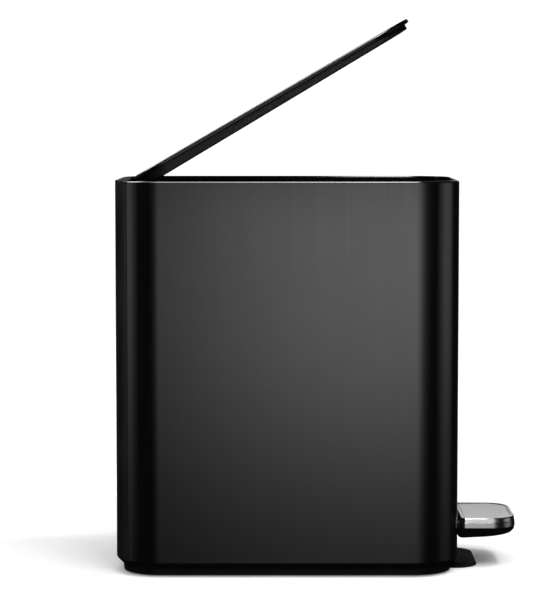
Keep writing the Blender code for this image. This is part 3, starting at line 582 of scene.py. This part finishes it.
def make_bezel():
    """Bezel with softened edges and a chamfered slot."""
    low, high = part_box("pedal_bezel")
    half = high[0]
    radius = 0.005

    def shape(inset):
        """Front view: square below, round-cornered above."""
        points = [(inset - half, low[2] + inset), (half - inset, low[2] + inset)]
        for side, start in ((1, 0), (-1, 90)):
            for step in range(13):
                angle = math.radians(start + 90 * step / 12)
                x = side * (half - radius) + (radius - inset) * math.cos(angle)
                points.append((x, high[2] - radius + (radius - inset) * math.sin(angle)))
        return points

    levels = fillet([(0.0, high[1], 0), (0.0, low[1], 0.0007), (0.0014, low[1], 0)])
    bezel = skin("slot_bezel", [[(x, y, z) for x, z in shape(inset)] for inset, y in levels])
    slot_width = (-BEZEL_SLOT_HALF, BEZEL_SLOT_HALF)
    slot_height = (BEZEL_SLOT_LOW, BEZEL_SLOT_TOP)
    slot = block("slot", slot_width, (low[1] - 0.003, high[1] + 0.003), slot_height)
    middle = sum(slot_height) / 2
    corners = [
        (-BEZEL_SLOT_HALF, BEZEL_SLOT_LOW), (BEZEL_SLOT_HALF, BEZEL_SLOT_LOW),
        (BEZEL_SLOT_HALF, BEZEL_SLOT_TOP), (-BEZEL_SLOT_HALF, BEZEL_SLOT_TOP),
    ]
    flare = []
    for y, wide, tall in ((low[1] + 0.0007, 0.999, 0.999), (low[1] - 0.0003, 1.075, 1.085)):
        flare.append([(x * wide, y, middle + (z - middle) * tall) for x, z in corners])
    combine(bezel, "DIFFERENCE", [slot, skin("flare", flare)])
    place_piece(bezel, FINISH["black_plastic"], "black_plastic", "can", "pedal_bezel")


def make_bucket():
    """Bucket with a stacking step, a rolled brim and a radiused floor."""
    low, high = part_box("inner_bucket")
    front_y = low[1] + 0.0035
    back_y = high[1] - 0.0038
    half = high[0] - 0.0035
    floor = low[2]
    top = high[2]

    def shape(inset):
        """Bucket's wall seen from above."""
        return rounded_rectangle(
            half - inset, front_y + inset, back_y - inset,
            BUCKET_FRONT_RADIUS - inset, BUCKET_REAR_RADIUS - inset,
        )

    def brim(inset):
        """Brim seen from above, which stands out round the wall."""
        return rounded_rectangle(
            high[0] - inset, low[1] + inset, high[1] - inset,
            FLANGE_RADIUS - inset, BUCKET_REAR_RADIUS - inset,
        )

    brim_low = top - 0.0020
    step_low = top - STACKING_STEP
    step_high = step_low + 0.003
    step_inset = BUCKET_DRAFT * 0.12
    dish = 0.030
    outer = fillet([
        (dish, floor + 0.0008, 0),
        (BUCKET_DRAFT + 0.010, floor, 0.001),
        (BUCKET_DRAFT + 0.001, floor, 0.004),
        (step_inset, step_low, 0.0010),
        (0.0002, step_high, 0.0010),
        (0.0, brim_low - 0.0001, 0),
    ])
    rolled = fillet([(0.0012, brim_low, 0), (0.0, brim_low, 0.0004), (0.0, top, 0.0008), (0.0010, top, 0)])
    inner = fillet([
        (0.0010, top, 0),
        (BUCKET_WALL, top - 0.0010, 0.0006),
        (BUCKET_WALL + 0.0001, step_high, 0.0010),
        (step_inset + BUCKET_WALL, step_low, 0.0010),
        (BUCKET_DRAFT + 0.0025, floor + 0.0016, 0.0055),
        (dish, floor + 0.0022, 0),
    ])
    loops = [at_height(shape(inset), z) for inset, z in outer]
    loops += [at_height(brim(inset), z) for inset, z in rolled]
    loops += [at_height(shape(inset), z) for inset, z in inner]
    bucket = skin("bucket", loops)
    place_piece(bucket, FINISH["grey_plastic"], "grey_plastic", "can", "inner_bucket")


# ---------------------------------------------------------------- lid


def underside(y):
    """Height of the shut liner's underside."""
    share = (LID_REAR_Y - y) / (LID_REAR_Y - LID_TIP_Y)
    return BODY_TOP - LINER_REAR_DEPTH + share * (LINER_REAR_DEPTH - LINER_TIP_DEPTH)


def on_underside(points, rise):
    """Plan outline laid on the liner's sloping underside."""
    return [(x, y, underside(y) + rise) for x, y in points]


def ear_notches(depth, heights):
    """Cutters that clear the two hinge ears, from the can's back forwards."""
    notches = []
    for middle in (-HINGE_X, HINGE_X):
        wide = (middle - EAR_HALF_SPAN, middle + EAR_HALF_SPAN)
        notches.append(block("notch", wide, (BACK_Y, BACK_Y - depth), heights))
    return notches


def make_lid_top():
    """Thin steel skin folded down into a skirt, whose edge is rolled back in."""
    low = BODY_TOP - LID_SKIRT
    roll = 0.0017
    roll_top = low + 0.0009
    flat = 0.0040
    section = fillet([
        (flat, BODY_TOP - SHEET, 0),
        (SHEET, BODY_TOP - SHEET, 0.0009),
        (SHEET, roll_top, 0.0001),
        (roll, roll_top, 0.0001),
        (roll, low, 0.0003),
        (0.0, low, 0.0011),
        (0.0, BODY_TOP, 0.0014),
        (flat, BODY_TOP, 0),
    ])
    top = skin("lid_top", [at_height(lid_outline(inset), z) for inset, z in section])
    combine(top, "DIFFERENCE", ear_notches(0.012, (low - 0.002, BODY_TOP - SHEET - 0.0004)))
    place_piece(top, FINISH["lid_steel"], "black_steel", "lid", "lid_skin")


def make_lid_inside():
    """Liner tray whose underside is sunk a little inside its border."""
    top = BODY_TOP - SHEET - 0.0005
    inner = LINER_INSET + LINER_WALL
    under = fillet([
        (0.0180, 0.0007, 0),
        (0.0150, 0.0007, 0.0006),
        (0.0138, 0.0, 0.0006),
        (LINER_INSET, 0.0, 0.0010),
        (LINER_INSET, 0.0022, 0),
    ])
    loops = [on_underside(liner_outline(inset), rise) for inset, rise in under]
    loops += [at_height(liner_outline(LINER_INSET), top), at_height(liner_outline(inner), top)]
    loops.append(on_underside(liner_outline(inner), 0.002))
    tray = skin("lid_inside", loops)
    centres = []
    for side in (-1, 1):
        centres += [(side * HINGE_X, ARM_SCREW_Y), (side * CRANK_SCREW_X, CRANK_SCREW_Y)]
    bore = [(SCREW_HOLE, 0.300), (SCREW_HOLE, 0.310)]
    combine(tray, "DIFFERENCE", ear_notches(0.0197, (0.300, 0.320)) + holes(centres, bore))
    place_piece(tray, FINISH["liner_plastic"], "black_plastic", "lid", "lid_liner")


def make_bumpers():
    """Rubber strips with rounded edges, on the rim frame's front wall."""
    for node in ("lid_bumper_left", "lid_bumper_right"):
        low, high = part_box(node)
        radius = 0.0009
        section = fillet([
            (low[1], low[2], 0.0001),
            (high[1], low[2], 0.0001),
            (high[1], high[2], radius),
            (low[1], high[2], radius),
        ], closed=True)
        strip = skin(f"{node}_strip", [[(x, y, z) for y, z in section] for x in (low[0], high[0])])
        place_piece(strip, FINISH["rubber"], "rubber", "can", node)


# ---------------------------------------------------------------- pedal


def pedal_outline(inset, reach=0.0, rear=None):
    """Pedal from above; reach draws its tip back, and rear is the Y of its rear edge."""
    low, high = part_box("pedal_cap")
    rear_y, rear_radius = (high[1], PEDAL_REAR_RADIUS) if rear is None else (rear, SOLE_REAR_RADIUS)
    return rounded_rectangle(
        high[0] - inset, low[1] + reach + inset, rear_y - inset,
        PEDAL_TIP_RADIUS - inset, rear_radius - inset * 0.8, steps=20,
    )


def on_sole(points, rise):
    """Plan outline laid on the pedal's gently rising underside."""
    low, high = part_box("pedal_body")
    return [(x, y, low[2] + SOLE_SLOPE * (high[1] - y) + rise) for x, y in points]


def make_pedal_cap():
    """Pressed steel cap, its edge rolled down to the split and its pad sunk by half a millimetre."""
    low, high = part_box("pedal_cap")
    top = high[2]
    split = low[2]
    section = fillet([
        (0.0045, top - 0.0014, 0),
        (0.0011, top - 0.0014, 0.0008),
        (0.0010, split, 0.0002),
        (0.0, split, 0.0004),
        (0.0001, split + 0.0040, 0.0005),
        (0.0005, split + 0.0048, 0.0005),
        (0.0007, top - 0.0009, 0.0005),
        (0.0013, top, 0.0005),
        (0.0034, top, 0.0002),
        (0.0040, top - 0.0005, 0.0002),
        (0.0050, top - 0.0005, 0),
    ], steps=4)
    cap = skin("steel_pedal_cap", [at_height(pedal_outline(inset), z) for inset, z in section])
    place_piece(cap, FINISH["brushed_steel"], "brushed_steel", "pedal", "pedal_cap")


def make_pedal_body():
    """Moulding under the cap: a round-bottomed shell, gapped for the lever and the slot's bezel."""
    rear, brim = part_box("pedal_body")[1][1:]
    rear += 0.0002
    steps = 8
    loops = [on_sole(pedal_outline(0.0034, 0.0125, rear - 0.0014), 0.0)]
    for step in range(steps + 1):
        turn = math.radians(90 * step / steps)
        inset = 0.0028 - 0.0024 * math.sin(turn)
        reach = 0.0110 - 0.0090 * math.sin(turn)
        rise = 0.0001 + 0.0018 * (1 - math.cos(turn))
        loops.append(on_sole(pedal_outline(inset, reach, rear - 0.0010 * math.cos(turn)), rise))
    loops.append(at_height(pedal_outline(0.0002, 0.0006, rear), brim - 0.0022))
    loops.append(at_height(pedal_outline(0.0002, 0.0, rear), brim))
    loops.append(at_height(pedal_outline(0.0018), brim))
    loops.append(on_sole(pedal_outline(0.0022, 0.0065), 0.0050))
    loops.append(on_sole(pedal_outline(0.0050, 0.0190), 0.0022))
    body = skin("pedal_moulding", loops)
    lever_depth = (FRONT_Y, FRONT_Y - 0.029)
    bezel_depth = (FRONT_Y + 0.001, FRONT_Y - 0.0026)
    tools = [
        block("lever_gap", (-LEVER_GAP_HALF, LEVER_GAP_HALF), lever_depth, (0.0266, 0.033)),
        block("bezel_gap", (-BEZEL_GAP_HALF, BEZEL_GAP_HALF), bezel_depth, (0.015, 0.035)),
    ]
    centres = [centre_of("pedal_screw_left"), centre_of("pedal_screw_right")]
    tools += holes(centres, [(SCREW_HOLE, 0.020), (SCREW_HOLE, 0.028)])
    combine(body, "DIFFERENCE", tools)
    place_piece(body, FINISH["plate_plastic"], "black_plastic", "pedal", "pedal_body")


# ---------------------------------------------------------------- carried-over nodes


def dress_frame_nodes():
    """CAD nodes whose shape is right keep it and take the finish of their record slot."""
    for entry in frame["record"]["subparts"]:
        node = frame["nodes"][entry["node"]]
        if node.hide_render:
            continue
        for index in range(len(node.data.materials)):
            node.data.materials[index] = FINISH[entry["material_slot"]]


# ---------------------------------------------------------------- studio

WHITE = (1.0, 1.0, 1.0, 1.0)


def make_floor():
    """Pale paper floor with a little glow of its own, left out of reflections."""
    bpy.ops.mesh.primitive_plane_add(size=4.0)
    floor = bpy.context.object
    floor.name = "floor"
    surface = Surface("floor_paper", (0.84, 0.84, 0.84), 0.9)
    surface.vary_colour(surface.noise(3.0, detail=2.0), 0.995, 1.005)
    surface.set("Emission Color", WHITE)
    surface.set("Emission Strength", 0.16)
    floor.data.materials.append(surface.material)
    floor.visible_glossy = False


def emitter(name, strength):
    """Material that only glows; returns it with its Emission node."""
    material = bpy.data.materials.new(name)
    material.use_nodes = True
    tree = material.node_tree
    tree.nodes.clear()
    output = tree.nodes.new("ShaderNodeOutputMaterial")
    glow = tree.nodes.new("ShaderNodeEmission")
    glow.inputs["Strength"].default_value = strength
    tree.links.new(glow.outputs["Emission"], output.inputs["Surface"])
    return material, glow


def make_backdrop():
    """White surround behind everything that the camera sees."""
    bpy.ops.mesh.primitive_uv_sphere_add(segments=48, ring_count=24, radius=20.0)
    backdrop = bpy.context.object
    backdrop.name = "backdrop"
    backdrop.data.materials.append(emitter("backdrop_white", 1.1)[0])
    backdrop.visible_glossy = False
    backdrop.visible_diffuse = False
    backdrop.visible_shadow = False
    backdrop.visible_transmission = False


def reflector(name, place, towards, size, strength, across, up):
    """Card that only shows in reflections; across and up are stops of (share of its side, brightness)."""
    bpy.ops.mesh.primitive_plane_add(size=1.0)
    card = bpy.context.object
    card.name = name
    card.scale = (size[0], size[1], 1.0)
    card.location = place
    card.rotation_euler = Vector(towards).to_track_quat("Z", "Y").to_euler()
    material, glow = emitter(name, strength)
    tree = material.node_tree
    separate = tree.nodes.new("ShaderNodeSeparateXYZ")
    coordinates = tree.nodes.new("ShaderNodeTexCoord").outputs["Generated"]
    tree.links.new(coordinates, separate.inputs["Vector"])
    product = tree.nodes.new("ShaderNodeMath")
    product.operation = "MULTIPLY"
    for index, (socket, stops) in enumerate((("X", across), ("Y", up))):
        ramp = tree.nodes.new("ShaderNodeValToRGB")
        ramp.color_ramp.interpolation = "LINEAR"
        elements = ramp.color_ramp.elements
        while len(elements) < len(stops):
            elements.new(0.5)
        for element, (share, level) in zip(elements, stops):
            element.position = share
            element.color = (level, level, level, 1.0)
        tree.links.new(separate.outputs[socket], ramp.inputs["Fac"])
        tree.links.new(ramp.outputs["Color"], product.inputs[index])
    tree.links.new(product.outputs["Value"], glow.inputs["Color"])
    card.data.materials.append(material)
    card.visible_camera = False
    card.visible_diffuse = False
    card.visible_shadow = False


def mirrored(stops):
    """The same stops seen from the other end."""
    return [(1.0 - share, level) for share, level in reversed(stops)]


def add_light(data, place, towards):
    """Light shining from the side that towards points to, left out of reflections."""
    light = bpy.data.objects.new(data.name, data)
    light.location = place
    light.rotation_euler = Vector(towards).to_track_quat("Z", "Y").to_euler()
    light.visible_glossy = False
    bpy.context.scene.collection.objects.link(light)


def sun_light(name, towards, energy, angle):
    """Sun whose angle, in degrees, sets how soft its shadows are."""
    data = bpy.data.lights.new(name, "SUN")
    data.energy = energy
    data.angle = math.radians(angle)
    add_light(data, (0, 0, 0), towards)


def make_lights():
    """Broad light overhead, a crisp key sun, and a soft fill sun from the camera's side."""
    data = bpy.data.lights.new("top", "AREA")
    data.shape = "SQUARE"
    data.size = 10.0
    data.energy = 420
    add_light(data, (0, 0, 5.0), (0, 0, 1))
    sun_light("key", towards=(-0.12, -0.88, 2.1), energy=1.0, angle=6)
    sun_light("fill", towards=(-1.15, -0.85, 2.1), energy=1.1, angle=30)


def make_world():
    """Nearly dark surround, and colours shown as they are."""
    world = bpy.data.worlds.new("studio")
    world.use_nodes = True
    background = world.node_tree.nodes["Background"]
    background.inputs["Color"].default_value = WHITE
    background.inputs["Strength"].default_value = 0.01
    bpy.context.scene.world = world
    bpy.context.scene.view_settings.view_transform = "Standard"


def make_reflectors():
    """Cards whose reflections draw the highlights on the wrap, the hem, the lid and the pedal."""
    front_fade = [
        (0.12, 0.02), (0.22, 0.09), (0.27, 0.21), (0.31, 0.38), (0.35, 0.66), (0.42, 1.0), (0.48, 0.93),
        (0.54, 0.67), (0.60, 0.34), (0.65, 0.14), (0.69, 0.04), (0.76, 0.0),
    ]
    front_rise = [
        (0.12, 0.08), (0.16, 0.166), (0.20, 0.293), (0.23, 0.452), (0.27, 0.648), (0.31, 0.80),
        (0.35, 0.87), (0.40, 1.0), (0.43, 0.03), (0.50, 0.0),
    ]
    reflector(
        "front_card", place=(-0.75, 0.0, 0.45), towards=(1, 0, 0), size=(1.6, 1.6),
        strength=3.355, across=front_fade, up=front_rise,
    )
    upper_fade = [
        (0.28, 0.0), (0.34, 0.02), (0.39, 0.02), (0.41, 1.0), (0.44, 1.0), (0.50, 0.62), (0.60, 0.42),
        (0.70, 0.2), (0.80, 0.0),
    ]
    reflector(
        "upper_card", place=(-0.425, 0.0, 1.085), towards=(0.747, 0, -0.665), size=(1.6, 0.977),
        strength=26.0, across=upper_fade, up=[(0.0, 0.0), (0.08, 1.0), (1.0, 1.0)],
    )
    soft_edges = [(0.0, 0.0), (0.2, 1.0), (0.8, 1.0), (1.0, 0.0)]
    reflector(
        "left_upper_card", place=(0.02, 0.98, 1.44), towards=(-0.05, -0.75, -0.66), size=(0.9, 1.4),
        strength=24.0, across=soft_edges, up=soft_edges,
    )
    far_half = [(0.0, 0.05), (0.07, 0.17), (0.18, 0.36), (0.30, 0.65), (0.42, 0.94), (0.54, 1.0)]
    left_fade = far_half + [(0.66, 0.70), (0.80, 0.2), (0.92, 0.0)]
    right_fade = far_half + [(0.66, 0.85), (0.82, 0.60), (0.99, 0.3)]
    side_rise = [
        (0.05, 0.08), (0.12, 0.23), (0.17, 0.34), (0.21, 0.52), (0.28, 0.79), (0.39, 1.0), (0.42, 0.9),
        (0.46, 0.0),
    ]
    for name, side, fade in (("right_card", -1, mirrored(right_fade)), ("left_card", 1, left_fade)):
        reflector(
            name, place=(-0.165, side * 1.315, 0.45), towards=(0.087, side * -0.996, 0), size=(1.2, 1.6),
            strength=1.0, across=fade, up=side_rise,
        )
    reflector(
        "back_card", place=(1.6, -0.3, 0.62), towards=(-1, 0, 0), size=(0.9, 0.64),
        strength=1.15, across=soft_edges, up=[(0.0, 0.3), (0.12, 1.0), (1.0, 1.0)],
    )


def make_camera():
    """Long lens that looks along +X at the can's side, from a little above the rim."""
    data = bpy.data.cameras.new("camera")
    data.sensor_width = 36.0
    data.lens = 134.0
    data.shift_x = -0.0213
    data.shift_y = -0.032
    data.clip_end = 100.0
    camera = bpy.data.objects.new("camera", data)
    camera.location = (-HALF_WIDTH - CAMERA_DISTANCE, BACK_Y - CAMERA_SETBACK, CAMERA_HEIGHT)
    camera.rotation_euler = (math.radians(90) - CAMERA_TILT, 0.0, math.radians(-90))
    bpy.context.scene.collection.objects.link(camera)
    bpy.context.scene.camera = camera


make_wrap()
make_rear_panel()
make_base()
make_foot_plate()
make_feet()
make_bezel()
make_bucket()
make_lid_top()
make_lid_inside()
make_bumpers()
make_pedal_cap()
make_pedal_body()
dress_frame_nodes()
make_floor()
make_backdrop()
make_world()
make_lights()
make_reflectors()
make_camera()
